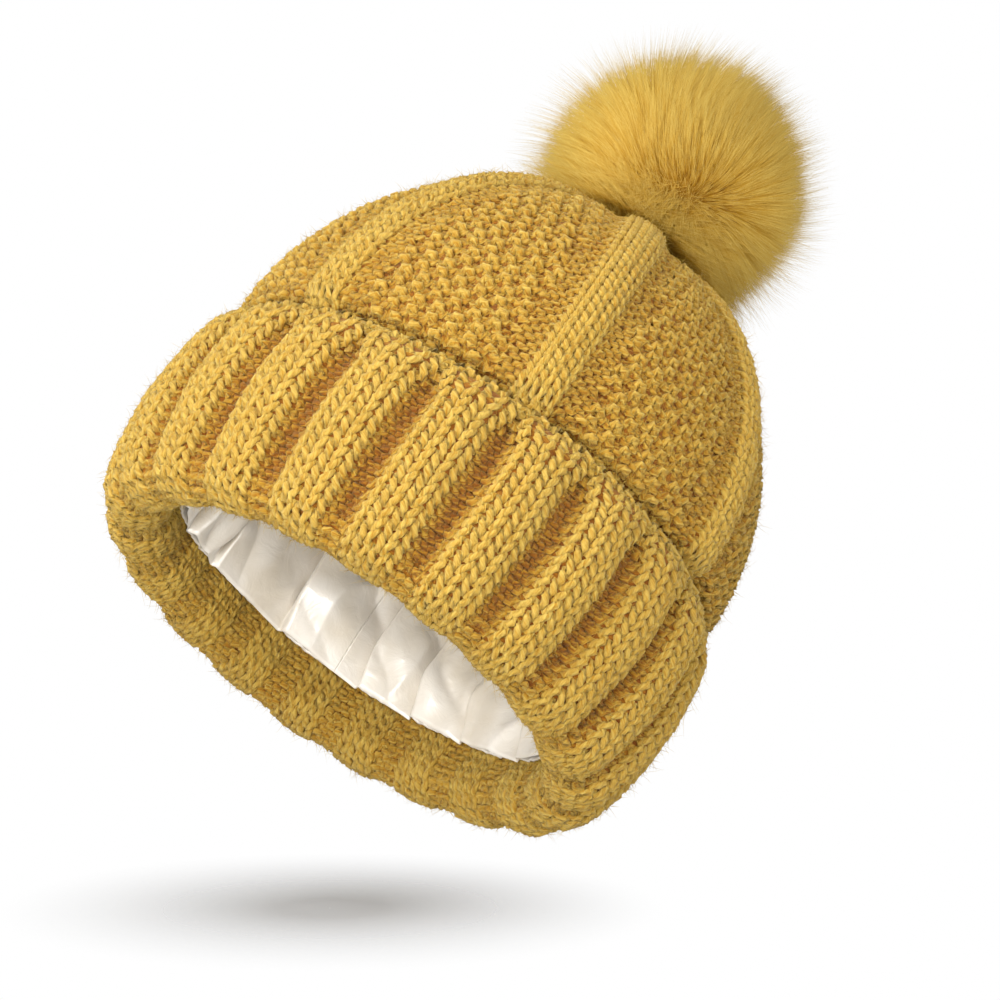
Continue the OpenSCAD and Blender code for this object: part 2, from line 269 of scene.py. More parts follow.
def crown_panel(j):
    """One panel of the crown: a raised column of three plain stitches, purl beside it, and bubbly moss
    stitch between, whose bumps stand two stitches apart and are staggered."""
    r = on_outline(row_at(j))[0] + 1.0
    wide = 2 * math.pi * r / PANELS
    col = min(4.9, wide * 0.3)
    half = (wide - 3 * col) / 2
    pitch = 3.8
    m = int(np.clip(math.floor(half / pitch - 0.5), 0, 9))
    side = (np.arange(m + 1) + 0.5) * pitch
    share = min(3, m) if m else 0
    if share:
        side[m - share + 1:] += (half - side[m]) * np.arange(1, share + 1) / share
    side[m] = half
    mid = 1.5 * col + half
    edges = np.concatenate([np.array([-1.5, -0.5, 0.5, 1.5]) * col, mid - side[:-1][::-1], mid + side])
    centres = (edges[1:] + edges[:-1]) / 2
    knots = np.empty(2 * len(centres) + 1)
    knots[0::2], knots[1::2] = edges, centres
    index = np.arange(-m, m + 1)
    in_moss = np.abs(index) <= m - 2
    raised_one = (index + (j // 2 % 2)) % 2 == 0
    bump = np.where(in_moss, np.where(raised_one, 0.5, -1.5), 0.0) * (1.0 if j % 2 else 0.6)
    kinds = np.concatenate([[1, 1, 1], np.where(in_moss & ~raised_one, -0.2, -1.1)])
    at = np.minimum(np.abs(knots), np.abs(knots - wide)) / (1.5 * col)
    raised = np.sqrt(np.clip(1 - (at / 1.12) ** 2, 0, 1))
    swell = 0.9 * ease(np.minimum(knots, wide - knots), 1.5 * col + 4, 1.5 * col + 17)
    out = -1.4 + 4.1 * raised + swell
    ids = np.concatenate([[100, 101, 102], index])
    return knots / r, kinds, out, ids, np.concatenate([[0, 0, 0], bump])


def panel_of(j):
    return rib_panel(j) if row_at(j) < crown_start - 2 else crown_panel(j)


def smooth_at(values, u, step):
    """A closed row of values read between its knots; the row grows by step each time round."""
    n = len(values)
    i = np.floor(u).astype(int)
    t = u - i
    p = [values[(i + k) % n] + step * ((i + k) // n) for k in (-1, 0, 1, 2)]
    return 0.5 * (2 * p[1] + (p[2] - p[0]) * t + (2 * p[0] - 5 * p[1] + 4 * p[2] - p[3]) * t ** 2
                  + (3 * p[1] - p[0] - 3 * p[2] + p[3]) * t ** 3)


def whole_row(j):
    """Knots, kinds, relief and bumps of a whole round, and how far each wale moves to the rounds before
    and after it."""
    knots, kinds, out, ids, bump = panel_of(j)
    centres = dict(zip(ids, knots[1::2]))

    def moves(other):
        theirs = panel_of(other)
        places = dict(zip(theirs[3], theirs[0][1::2]))
        if (100 in places) != (100 in centres):
            return np.zeros(len(ids))
        first, last = theirs[0][0], theirs[0][-1]
        return np.array([places.get(i, np.clip(centres[i], first, last)) - centres[i] for i in ids]) / 2

    up = moves(min(j + 1, rows - 1))
    down = moves(max(j - 1, 0))
    turns = np.arange(PANELS)[:, None] * 2 * math.pi / PANELS
    angle = (COLUMN_AT + turns + knots[None, :-1]).ravel()
    kinds, out, bump, up, down = (np.tile(a, PANELS) for a in (kinds, out[:-1], bump, up, down))
    return angle, kinds, out, bump, up, down


def row_yarn(j):
    """A round of yarn: its points, the right side's direction, its depth in the cloth and its thickness."""
    angle, kinds, out, bump, up, down = whole_row(j)
    n = len(kinds)
    t = np.tile((np.arange(STEPS) + 0.5) / STEPS, n)
    i = np.repeat(np.arange(n), STEPS)
    turn = 2 * math.pi * t
    wobble = random.normal(0, 1, (4, n))
    u = i + t + (LOOP_LEAN + 0.02 * (kinds[i] < 0) + 0.012 * wobble[0][i]) * np.sin(2 * turn)
    foot = np.roll(down, 1) / 2 + down / 2
    near = np.where(t < 0.5, foot[i], foot[(i + 1) % n])
    shift = (1 - np.cos(turn)) / 2 * up[i] + (1 + np.cos(turn)) / 2 * near
    from_edge = np.minimum(t, 1 - t)
    other = np.where(t < 0.5, i - 1, (i + 1) % n)
    blend = 0.25 * (1 + np.cos(math.pi * np.clip(from_edge / 0.22, 0, 1)))
    kind = kinds[i] * (1 - blend) + kinds[other] * blend
    raised = bump[i] * (1 - blend) + bump[other] * blend
    theta = smooth_at(angle, 2 * u, 2 * math.pi) + shift
    relief = smooth_at(out, 2 * u, 0) + BUMP_H * raised
    s = row_at(j) - LOOP_H / 2 * np.cos(turn) * (1 + 0.03 * wobble[1][i]) + 0.12 * wobble[2][i]
    s = np.clip(s, 0, outline_s[-1])
    depth = relief - LOOP_DEPTH * np.cos(2 * turn) * kind + 0.12 * wobble[3][i]
    r, z, nr, nz = on_outline(s)
    r, z = r + nr * depth, z + nz * depth
    side = float(shown_side(row_at(j)))
    thick = YARN_R * (1 + 0.3 * np.clip(raised, 0, 1))
    return round_axis(r, theta, z), side * round_axis(nr, theta, nz), side * depth, thick


def mesh_piece(name, points, sheets, material, body):
    """A piece from points in millimetres and sheets of faces, each with its corners' places on its maps."""
    mesh = bpy.data.meshes.new(name)
    mesh.vertices.add(len(points))
    mesh.vertices.foreach_set("co", (np.asarray(points, np.float32) * MM).ravel())
    corners = np.concatenate([f.ravel() for f, _ in sheets]).astype(np.int32)
    sizes = np.concatenate([np.full(len(f), f.shape[1], np.int32) for f, _ in sheets])
    mesh.loops.add(len(corners))
    mesh.loops.foreach_set("vertex_index", corners)
    mesh.polygons.add(len(sizes))
    mesh.polygons.foreach_set("loop_start", np.concatenate([[0], np.cumsum(sizes)[:-1]]).astype(np.int32))
    mesh.polygons.foreach_set("use_smooth", np.ones(len(sizes), bool))
    for key in sheets[0][1]:
        layer = mesh.uv_layers.new(name=key)
        places = np.concatenate([m[key].reshape(-1, 2) for _, m in sheets])
        layer.data.foreach_set("uv", places.astype(np.float32).ravel())
    mesh.update(calc_edges=True)
    mesh.validate()
    mesh.materials.append(material)
    made = bpy.data.objects.new(name, mesh)
    bpy.context.scene.collection.objects.link(made)
    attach(made, body)
    return made


def grid_faces(rows_n, cols_n, closed_rows, closed_cols):
    """Quads of a grid of points, and each corner's row and column, which run on past a closed end."""
    a, b = np.meshgrid(np.arange(rows_n - (not closed_rows)), np.arange(cols_n - (not closed_cols)),
                       indexing="ij")
    row = np.stack([a, a + 1, a + 1, a], -1).reshape(-1, 4)
    col = np.stack([b, b, b + 1, b + 1], -1).reshape(-1, 4)
    return (row % rows_n) * cols_n + col % cols_n, row, col


def yarn_tubes(lines, sides=2 * PLIES, twist=TWIST):
    """Closed tubes of plied yarn along closed lines: points and faces, with maps along and round the yarn,
    and of each point's height in the cloth's relief."""
    points_all, faces_all, base = [], [], 0
    maps = {"OFBake": [], "yarn": [], "relief": []}
    for k, (points, facing, depth, thick) in enumerate(lines):
        n = len(points)
        run = np.concatenate([[0], np.cumsum(np.linalg.norm(np.roll(points, -1, 0) - points, axis=1))])
        turns = max(1, round(run[-1] / twist))
        along = np.roll(points, -1, 0) - np.roll(points, 1, 0)
        along /= np.linalg.norm(along, axis=1)[:, None]
        across = np.cross(along, facing)
        across /= np.linalg.norm(across, axis=1)[:, None]
        up = np.cross(across, along)
        spin = 2 * math.pi * (np.arange(sides)[None] / sides + turns * (run[:-1] / run[-1])[:, None])
        size = np.asarray(thick).reshape(-1, 1) * np.where(np.arange(sides) % 2 == 0, 1.06, 0.88)
        offset = size[..., None] * (np.cos(spin)[..., None] * across[:, None]
                                    + np.sin(spin)[..., None] * up[:, None])
        points_all.append((points[:, None] + offset).reshape(-1, 3))
        height = (np.asarray(depth).reshape(-1, 1) + np.einsum("ijk,ik->ij", offset, facing)).ravel()
        faces, row, col = grid_faces(n, sides, True, True)
        faces_all.append(faces + base)
        maps["OFBake"].append(np.stack([row / n, (k + 0.04 + 0.92 * col / sides) / len(lines)], -1))
        maps["yarn"].append(np.stack([run[row] * MM, col / sides], -1))
        # The relief map holds each point's height in the cloth, from which the yarn's material paints light on the
        # ribs and shade in the furrows.
        maps["relief"].append(np.stack([height[faces] / 10 + 0.5, np.full(faces.shape, 0.5)], -1))
        base += n * sides
    faces = np.concatenate(faces_all)
    return np.concatenate(points_all), [(faces, {k: np.concatenate(v) for k, v in maps.items()})]


def painted_shade_gap_layer(first, last, base):
    """A closed layer inside the cloth that fills the gaps between a part's loops, standing for loose fibres,
    and painted in the yarn's dark pit colours: painted shade between the loops.
    """
    angle = np.arange(540) * 2 * math.pi / 540
    layers = []
    for j in range(first, last + 1):
        knots, _, out, bump, *_ = whole_row(min(j, rows - 1))
        relief = np.interp(angle, knots, out, period=2 * math.pi)
        relief += BUMP_H * np.interp(angle, knots[1::2], bump, period=2 * math.pi)
        s = row_at(j) - ROW / 2
        r, z, nr, nz = on_outline(np.clip(s, 0.2, outline_s[-1] - 0.5))
        layers.append((r, z, nr, nz, relief))
    rings = []
    side = float(shown_side(row_at(first)))
    for lift, part in ((0.55 * side, layers), (-1.6 * side, layers[::-1])):
        for r, z, nr, nz, relief in part:
            rr = r + nr * (relief + lift)
            rings.append(round_axis(rr, angle, z + nz * (relief + lift)))
    faces, row, col = grid_faces(len(rings), len(angle), True, True)
    if side < 0:
        faces, row, col = faces[:, ::-1], row[:, ::-1], col[:, ::-1]
    # Its relief map holds a fixed low 0.26, so that the yarn's material paints the layer in its dark pit colours:
    # painted shade in the gaps.
    maps = {"OFBake": np.stack([col / len(angle), 0.01 * row / len(rings)], -1),
            "yarn": np.stack([col * MM, row / 6], -1),
            "relief": np.stack([np.full(row.shape, 0.26), np.full(row.shape, 0.5)], -1)}
    return np.concatenate(rings), (faces[:, ::-1] + base, {k: m[:, ::-1] for k, m in maps.items()})


def shader(name, **settings):
    """A new material and its Principled shader, with plain values set on the shader's own sockets."""
    made = bpy.data.materials.new(name)
    made.use_nodes = True
    base = made.node_tree.nodes["Principled BSDF"]
    for key, value in settings.items():
        base.inputs[key.replace("_", " ")].default_value = value
    return made, made.node_tree, base


def ramp(tree, value, *stops):
    """A colour ramp read at a value, from (place, hex colour) stops."""
    made = node(tree, "ShaderNodeValToRGB", Fac=value)
    steps = made.color_ramp.elements
    steps[0].position, steps[0].color = stops[0][0], linear(stops[0][1])
    steps[1].position, steps[1].color = stops[-1][0], linear(stops[-1][1])
    for place, code in stops[1:-1]:
        steps.new(place).color = linear(code)
    return made.outputs[0]


def spread(tree, value, low, high, to_low, to_high):
    """A value moved from one range to another."""
    return node(tree, "ShaderNodeMapRange", Value=value, From_Min=low, From_Max=high, To_Min=to_low,
                To_Max=to_high).outputs[0]


def total(tree, *values):
    """The sum of two or more values."""
    out = values[0]
    for value in values[1:]:
        out = node(tree, "ShaderNodeMath", {"operation": "ADD"}, i0=out, i1=value).outputs[0]
    return out


def brushed_acrylic(name, light, mid, deep, painted_pit_shade):
    """Brushed three-ply acrylic yarn: matt, with a soft sheen from its loose fibres and fine streaks along its
    fibres.
    Its colour holds painted light and shade: paler on the crest of each ply and darker in the grooves between
    plies, paler on the ribs and browner in the furrows, as the cloth's relief stands high or lies deep."""
    made, tree, base = shader(name, Roughness=0.9, Specular_IOR_Level=0.2, Sheen_Weight=0.25,
                              Sheen_Roughness=0.5, Sheen_Tint=linear("#F2DFA0"), Subsurface_Weight=0.35,
                              Subsurface_Radius=(1.0, 0.95, 0.9), Subsurface_Scale=1.4 * MM)
    along = node(tree, "ShaderNodeUVMap", {"uv_map": "yarn"}).outputs[0]
    relief = node(tree, "ShaderNodeUVMap", {"uv_map": "relief"}).outputs[0]
    # Real fibres are too fine to show, so the streaks are drawn 0.8 mm wide.
    fibre_mm = 0.8
    streaks = node(tree, "ShaderNodeMapping", Vector=along,
                   Scale=(1 / (5 * fibre_mm * MM), 2 * math.pi * YARN_R / fibre_mm, 1)).outputs[0]
    fibres = node(tree, "ShaderNodeTexNoise", {"noise_dimensions": "2D"}, Vector=streaks, Scale=1.0,
                  Detail=4.0, Roughness=0.7).outputs[0]
    round_ply = node(tree, "ShaderNodeSeparateXYZ", Vector=along).outputs["Y"]
    wave = node(tree, "ShaderNodeMath", {"operation": "MULTIPLY"}, i0=round_ply,
                i1=2 * math.pi * PLIES).outputs[0]
    crest = node(tree, "ShaderNodeMath", {"operation": "COSINE"}, i0=wave).outputs[0]
    place = node(tree, "ShaderNodeTexCoord").outputs["Object"]
    dye = node(tree, "ShaderNodeTexNoise", Vector=place, Scale=1 / (6 * MM), Detail=2.0).outputs[0]
    height = node(tree, "ShaderNodeSeparateXYZ", Vector=relief).outputs["X"]
    # The tone paints light and shade: the relief height makes the ribs paler and the furrows brown, and the ply
    # crest makes the grooves between plies darker.
    tone = total(tree, spread(tree, height, 0.12, 0.74, 0.0, 0.76),
                 spread(tree, crest, -1.0, 1.0, -0.09, 0.06),
                 spread(tree, fibres, 0.3, 0.7, -0.26, 0.26), spread(tree, dye, 0.3, 0.7, -0.06, 0.06))
    colour = ramp(tree, tone, (0.0, painted_pit_shade), (0.24, deep), (0.52, mid), (1.0, light))
    tree.links.new(colour, base.inputs["Base Color"])
    bump = node(tree, "ShaderNodeBump", Height=fibres, Strength=0.9, Distance=0.8 * MM).outputs[0]
    tree.links.new(bump, base.inputs["Normal"])
    return made


# The two darker colours are the painted shade of the furrows and of the grooves between plies, the palest is the
# painted light on the ribs.
mustard = brushed_acrylic("brushed_mustard_acrylic", "#C6A852", "#A67B20", "#86520D", "#6E3C09")
cuff_rows = int((fold_start - FIRST_ROW) / ROW)
fold_rows = int((fold_end - FIRST_ROW) / ROW) + 1
join_row = int((crown_start - FIRST_ROW) / ROW)
knit_parts = [("cuff_knit_upper", "knit_cuff", 0, cuff_rows // 2),
              ("cuff_knit_lower", "knit_cuff", cuff_rows // 2, cuff_rows),
              ("fold_knit", "knit_fold", cuff_rows, fold_rows),
              ("band_knit_lower", "knit_band", fold_rows, (fold_rows + join_row) // 2),
              ("band_knit_upper", "knit_band", (fold_rows + join_row) // 2, join_row),
              ("crown_knit_foot", "knit_crown", join_row, join_row + 7),
              ("crown_knit_lower", "knit_crown", join_row + 7, join_row + 14),
              ("crown_knit_middle", "knit_crown", join_row + 14, join_row + 22),
              ("crown_knit_upper", "knit_crown", join_row + 22, join_row + 32),
              ("crown_knit_top", "knit_crown", join_row + 32, rows)]
yarn_points, yarn_outwards, yarn_heights = [], [], []
for name, stands_for, first, last in knit_parts:
    lines = [row_yarn(j) for j in range(first, last)]
    points, sheets = yarn_tubes(lines)
    for middle, facing, depth, _ in lines:
        yarn_points.append(middle)
        yarn_outwards.append(facing)
        yarn_heights.append(depth)
    more, sheet = painted_shade_gap_layer(first, last, len(points))
    piece = mesh_piece(name, np.concatenate([points, more]), sheets + [sheet], mustard, "hat")
    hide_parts(stands_for)

# Fuzz: short loose fibres that stand off the brushed yarn, most of them nearly along it.
FUZZ, FUZZ_LONG = 72000, 4.2


def hair_mesh(paths, widths):
    """Closed three-sided tapering hairs along paths [hair, point]: points and faces, with a map whose
    height runs from root to tip and whose width tells hairs apart."""
    count, steps, _ = paths.shape
    along = np.gradient(paths, axis=1)
    along /= np.linalg.norm(along, axis=2, keepdims=True) + 1e-9
    side = np.cross(along, [[[0.31, 0.52, 0.79]]])
    side /= np.linalg.norm(side, axis=2, keepdims=True) + 1e-9
    up = np.cross(side, along)
    spin = 2 * math.pi * np.arange(3) / 3
    ring = paths[:, :-1, None] + widths[:, :-1, None, None] / 2 * (
        np.cos(spin)[:, None] * side[:, :-1, None] + np.sin(spin)[:, None] * up[:, :-1, None])
    each = 3 * (steps - 1) + 1
    points = np.concatenate([ring.reshape(count, -1, 3), paths[:, -1:]], 1).reshape(-1, 3)
    faces, row, col = grid_faces(steps - 1, 3, False, True)
    start = np.arange(count)[:, None, None] * each
    tint = random.integers(0, 64, count)[:, None, None]
    quads = (faces[None] + start).reshape(-1, 4)
    tip = np.array([[(k + 1) % 3 + each - 4, k + each - 4, each - 1] for k in range(3)])
    ends = (np.concatenate([tip, [[0, 1, 2]]])[None] + start).reshape(-1, 3)
    quad_map = np.broadcast_to(np.stack(np.broadcast_arrays((tint + 0.2 + 0.6 * col[None] / 3) / 64,
                               row[None] / (steps - 1)), -1), (count, *faces.shape, 2))
    end_v = np.array([[(steps - 2) / (steps - 1)] * 2 + [1]] * 3 + [[0, 0, 0]])
    end_map = np.stack(np.broadcast_arrays((tint + 0.5) / 64, end_v[None]), -1)
    return points, [(quads, {"OFBake": quad_map}), (ends, {"OFBake": end_map})]


def soft_fibre(name, root, middle, tip, **settings):
    """Fine synthetic fibre: matt, coloured from root to tip through the given stops, and a little different
    from one fibre to the next. A darker root and paler tip, as on the fur and the fuzz, are painted shade among
    the hairs and painted light at the tips.
    """
    made, tree, base = shader(name, **settings)
    place = node(tree, "ShaderNodeUVMap", {"uv_map": "OFBake"}).outputs[0]
    parts = node(tree, "ShaderNodeSeparateXYZ", Vector=place)
    which = node(tree, "ShaderNodeMath", {"operation": "MULTIPLY"}, i0=parts.outputs["X"], i1=64.0).outputs[0]
    which = node(tree, "ShaderNodeMath", {"operation": "FLOOR"}, i0=which).outputs[0]
    differs = node(tree, "ShaderNodeTexWhiteNoise", {"noise_dimensions": "1D"}, W=which).outputs["Value"]
    tone = total(tree, parts.outputs["Y"], spread(tree, differs, 0.0, 1.0, -0.14, 0.14))
    tree.links.new(ramp(tree, tone, (0.0, root), (0.5, middle), (1.0, tip)), base.inputs["Base Color"])
    return made


# Darker at the root by the yarn and paler at the tip: painted shade at the root and painted light at the tip.
mustard_fuzz = soft_fibre("loose_acrylic_fibre", "#A6822A", "#B8983E", "#CCB060", Roughness=0.9,
                          Specular_IOR_Level=0.2)
middles, outwards, heights = (np.concatenate(a) for a in (yarn_points, yarn_outwards, yarn_heights))
shown = np.flatnonzero(heights > -1.0)
fuzz_parts = ("cuff_fuzz_upper", "cuff_fuzz_lower", "band_fuzz", "crown_fuzz_lower", "crown_fuzz_middle",
              "crown_fuzz_upper")
for name, chosen in zip(fuzz_parts, np.array_split(shown, len(fuzz_parts))):
    pick = random.choice(chosen, FUZZ // len(fuzz_parts))
    root = middles[pick] + outwards[pick] * (YARN_R - 0.25)
    drift = random.normal(0, 1, (len(pick), 3))
    drift /= np.linalg.norm(drift, axis=1)[:, None]
    drift -= 0.8 * outwards[pick] * np.sum(drift * outwards[pick], 1)[:, None]
    start = drift + outwards[pick] * random.uniform(0.05, 0.8, (len(pick), 1)) ** 1.5
    start /= np.linalg.norm(start, axis=1)[:, None]
    length = FUZZ_LONG * random.uniform(0.35, 1.0, (len(pick), 1)) ** 1.3
    curl = random.normal(0, 0.4, (len(pick), 3))
    t = np.linspace(0, 1, 4)[None, :, None]
    paths = root[:, None] + length[:, None] * (start[:, None] * t + curl[:, None] * t ** 2)
    # Drawn thicker than real fibres, so that they show.
    widths = np.broadcast_to(np.array([0.12, 0.10, 0.07, 0.02])[None], paths.shape[:2])
    points, sheets = hair_mesh(paths, widths)
    mesh_piece(name, points, sheets, mustard_fuzz, "hat")

# ---------------------------------------------------------------------------
# Cast-on edge: the first row of the knitting, a chain of the same yarn twisted round itself, once a
# stitch, along the free edge of the cuff.
CAST_ON_R = 1.15
count = WALES * 16
angle = COLUMN_AT + np.arange(count) * 2 * math.pi / count
# Each half of the chain is given a depth 3.0 above its place, so that the yarn's material paints it in its pale
# tones: painted light.
lines = []
for half in (0, math.pi):
    turn = WALES / 2 * (angle - COLUMN_AT) + half
    s = cuff_start - 1.2 + 1.0 * np.sin(turn)
    r, z, nr, nz = on_outline(s)
    out = 0.2 + 1.0 * np.cos(turn)
    points = round_axis(r + nr * out, angle, z + nz * out)
    lines.append((points, round_axis(nr, angle, nz), out + 3.0, np.full(count, CAST_ON_R)))
points, sheets = yarn_tubes(lines)
piece = mesh_piece("cast_on_chain", points, sheets, mustard, "hat")
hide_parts("cast_on_edge")

# ---------------------------------------------------------------------------
# Back seam: where the knitting is joined up the back, a doubled yarn that laces the two edges together,
# over the crown from its gathering to the cuff, and then down the cuff.
SEAM_STEP, SEAM_REACH, SEAM_YARN_R = 5.2, 2.0, 0.95


def laced(first_s, last_s, lift):
    """A closed line of yarn that zigzags along the back between two distances, up one way and back."""
    count = int((last_s - first_s) / SEAM_STEP * 12)
    s = np.linspace(first_s, last_s, count)
    turn = (s - first_s) / SEAM_STEP * math.pi
    ways = []
    for way in (1, -1):
        r, z, nr, nz = on_outline(s)
        out = lift + 0.6 * np.cos(2 * turn)
        a = math.pi / 2 + way * SEAM_REACH * np.sin(turn) / r
        line = round_axis(r + nr * out, a, z + nz * out)
        ways.append((line[::way], round_axis(nr, a, nz)[::way]))
    line, face = (np.concatenate(part) for part in zip(*ways))
    # The fixed depth of 2.0 makes the yarn's material paint the lacing in its pale tones: painted light on a
    # raised strand.
    return line, face, np.full(len(line), 2.0), np.full(len(line), SEAM_YARN_R)


crown_end = outline_s[-1] - 14
points, sheets = yarn_tubes([laced(cuff_start + 2, fold_start, 2.0), laced(crown_start + 6, crown_end, 1.3)])
piece = mesh_piece("back_lacing", points, sheets, mustard, "hat")
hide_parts("back_seam")

# Gathering yarn: drawn twice through the last loops of the crown and pulled tight.
GATHER_YARN_R = 1.0
gather_low, gather_high = box_mm("crown_gather_yarn")
angle = np.arange(160) * 2 * math.pi / 160
# A depth of zero makes the yarn's material paint the gathering yarn in its middle tones, between its painted light
# and shade.
lines = []
for k, rise in enumerate((-1.1, 1.1)):
    r = gather_high[0] - 1.6 + 0.35 * np.sin(9 * angle + k)
    z = (gather_low[2] + gather_high[2]) / 2 + rise + 0.3 * np.sin(7 * angle + 2 * k)
    lines.append((round_axis(r, angle, z), np.tile([0.0, 0.0, 1.0], (len(angle), 1)), np.zeros(len(angle)),
                  np.full(len(angle), GATHER_YARN_R)))
points, sheets = yarn_tubes(lines)
piece = mesh_piece("crown_drawstring", points, sheets, mustard, "hat")
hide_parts("crown_gather_yarn")

# ---------------------------------------------------------------------------
# Satin lining: ivory polyester satin, cut as two sides and a crown, wider than the hat, and laid in
# pleats at the hem, so that it billows in soft puffs between sharp fold lines and stretches with the knit.
SATIN_T = 0.3
PLEATS = 16
PUFF, PUFF_AT_HEM = 10.0, 2.2
SIDE_DIP = 5.0
LINING_CLEAR = 4.4
PLEAT_LAP = 0.26
LINING_COLS = 960
lining_z = box_mm("lining_hem")[0][2]
seam_z = box_mm("lining_crown")[0][2]
pleat_random = np.random.default_rng(23)
pleat_w = pleat_random.uniform(0.65, 1.35, PLEATS)
pleat_edge = np.concatenate([[0], np.cumsum(pleat_w)]) / pleat_w.sum() * 2 * math.pi - 0.09
pleat_slant = pleat_random.normal(0, 0.035, PLEATS)
pleat_puff = pleat_random.uniform(0.7, 1.25, PLEATS)
pleat_lag = pleat_random.uniform(0, 2 * math.pi, (3, PLEATS))
lining_s0 = float(np.interp(lining_z, outline_rz[outline_s > fold_end, 1], outline_s[outline_s > fold_end]))
lining_s1 = float(np.interp(seam_z, outline_rz[outline_s > fold_end, 1], outline_s[outline_s > fold_end]))


def satin_at(s, around, puff):
    """The lining at distances up the wall and places round it, both grids: each pleat billows from a
    sharp line, and its far side laps over the next line."""
    k = np.clip(np.searchsorted(pleat_edge, around, side="right") - 1, 0, PLEATS - 1)
    wide = pleat_edge[k + 1] - pleat_edge[k]
    u = (around - pleat_edge[k]) / wide
    up = (s - lining_s0) / (lining_s1 - lining_s0)
    belly = np.sin(math.pi / 2 * np.clip(u / 0.7, 0, 1)) ** 0.8 * (1 - ease(u, 0.86, 1.0))
    warp = 0.16 * np.sin(2 * math.pi * (up * 2.3 + 0.3 * u) + pleat_lag[2][k])
    first = 1 - np.abs(np.sin(math.pi * (u * 1.15 + up * 1.9 + warp) + pleat_lag[0][k]))
    second = 1 - np.abs(np.sin(math.pi * (u * 0.9 - up * 2.7 + warp) + pleat_lag[1][k]))
    third = np.sin(2 * math.pi * (u * 1.7 + up * 0.8) + pleat_lag[1][k])
    soft = (0.42 * first ** 1.6 - 0.34 * second ** 1.4 + 0.08 * third) * np.sin(math.pi * u) ** 0.8
    depth = puff * pleat_puff[k] * (belly + soft)
    lap = PLEAT_LAP * wide * belly * u * np.clip(puff / PUFF, 0, 1)
    first, second = pleat_slant[k], pleat_slant[(k + 1) % PLEATS]
    sway = 0.02 * np.sin(5 * up + pleat_lag[2][k]) * np.sin(math.pi * u)
    lean = (mix(first, second, u) + sway) * np.sin(math.pi * up / 2)
    theta = around + lap + lean
    r, z, nr, nz = on_outline(s - SIDE_DIP * np.cos(theta) ** 4 * np.clip(1 - 2 * up, 0, 1))
    inward = LINING_CLEAR + depth
    return round_axis(r - nr * inward, theta, z - nz * inward)


def thick_sheet(grid, closed_cols, thick):
    """A closed solid round a sheet given as a grid of points: its two faces and its edges."""
    rows_n, cols_n, _ = grid.shape
    if closed_cols:
        over = np.roll(grid, -1, 1) - np.roll(grid, 1, 1)
    else:
        over = np.gradient(grid, axis=1)
    normal = np.cross(over, np.gradient(grid, axis=0))
    normal /= np.linalg.norm(normal, axis=2, keepdims=True) + 1e-9
    both = np.concatenate([grid + normal * thick / 2, (grid - normal * thick / 2)[::-1]])
    if not closed_cols:
        flat = both.reshape(2 * rows_n, cols_n, 3)
        faces, row, col = grid_faces(2 * rows_n, cols_n, True, False)
        last = 2 * rows_n - 1
        strip = np.array([[i, i + 1, last - 1 - i, last - i] for i in range(rows_n - 1)]) * cols_n
        side = np.concatenate([strip[:, ::-1], strip + cols_n - 1])
        place = np.stack([col / cols_n, row / (2 * rows_n)], -1)
        place = np.concatenate([place, np.zeros((len(side), 4, 2))])
        return flat.reshape(-1, 3), [(np.concatenate([faces, side])[:, ::-1], {"OFBake": place[:, ::-1]})]
    faces, row, col = grid_faces(2 * rows_n, cols_n, True, True)
    place = np.stack([col / cols_n, row / (2 * rows_n)], -1)
    return both.reshape(-1, 3), [(faces[:, ::-1], {"OFBake": place[:, ::-1]})]


def polyester_satin(name, light, shade):
    """Polyester satin: a smooth tight weave that shines softly along its floats, with a pearly sheen, fine
    crinkles where it was pressed, and a tone that varies at random between a paler and a deeper colour."""
    made, tree, base = shader(name, Roughness=0.31, Specular_IOR_Level=0.9, Sheen_Weight=0.3,
                              Sheen_Roughness=0.35, Anisotropic=0.5)
    place = node(tree, "ShaderNodeTexCoord").outputs["Object"]
    tone = node(tree, "ShaderNodeTexNoise", Vector=place, Scale=1 / (18 * MM), Detail=2.0).outputs[0]
    tree.links.new(ramp(tree, tone, (0.3, shade), (0.7, light)), base.inputs["Base Color"])
    crinkle = node(tree, "ShaderNodeTexNoise", Vector=place, Scale=1 / (9 * MM), Detail=4.0, Roughness=0.55,
                   Distortion=0.8).outputs[0]
    # The real weave is too fine to show, so it is drawn 0.5 mm apart.
    weave = node(tree, "ShaderNodeTexNoise", Vector=place, Scale=1 / (0.5 * MM), Detail=1.0).outputs[0]
    creased = node(tree, "ShaderNodeBump", Height=crinkle, Strength=0.35, Distance=1.6 * MM).outputs[0]
    woven = node(tree, "ShaderNodeBump", Height=weave, Strength=0.12, Distance=0.1 * MM,
                 Normal=creased).outputs[0]
    tree.links.new(woven, base.inputs["Normal"])
    return made


ivory_satin = polyester_satin("ivory_polyester_satin", "#E8E2D8", "#D4CAB9")
up_wall = np.linspace(lining_s0, lining_s1, 84)[:, None]
share = (up_wall - lining_s0) / (lining_s1 - lining_s0)
puff = mix(PUFF_AT_HEM, PUFF, ease(share, -0.03, 0.14)) * (1 - 0.75 * ease(share, 0.55, 1.0))
for name, start in (("lining_left", math.pi / 2), ("lining_right", -math.pi / 2)):
    around = np.linspace(start, start + math.pi, LINING_COLS // 2 + 1)[None, :] % (2 * math.pi)
    around = np.where(around < pleat_edge[0], around + 2 * math.pi, around)
    around = np.where(around >= pleat_edge[-1], around - 2 * math.pi, around)
    grid = satin_at(up_wall + 0 * around, around + 0 * up_wall, puff + 0 * around)
    points, sheets = thick_sheet(grid, False, SATIN_T)
    piece = mesh_piece(name + "_satin", points, sheets, ivory_satin, "hat")
    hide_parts(name)

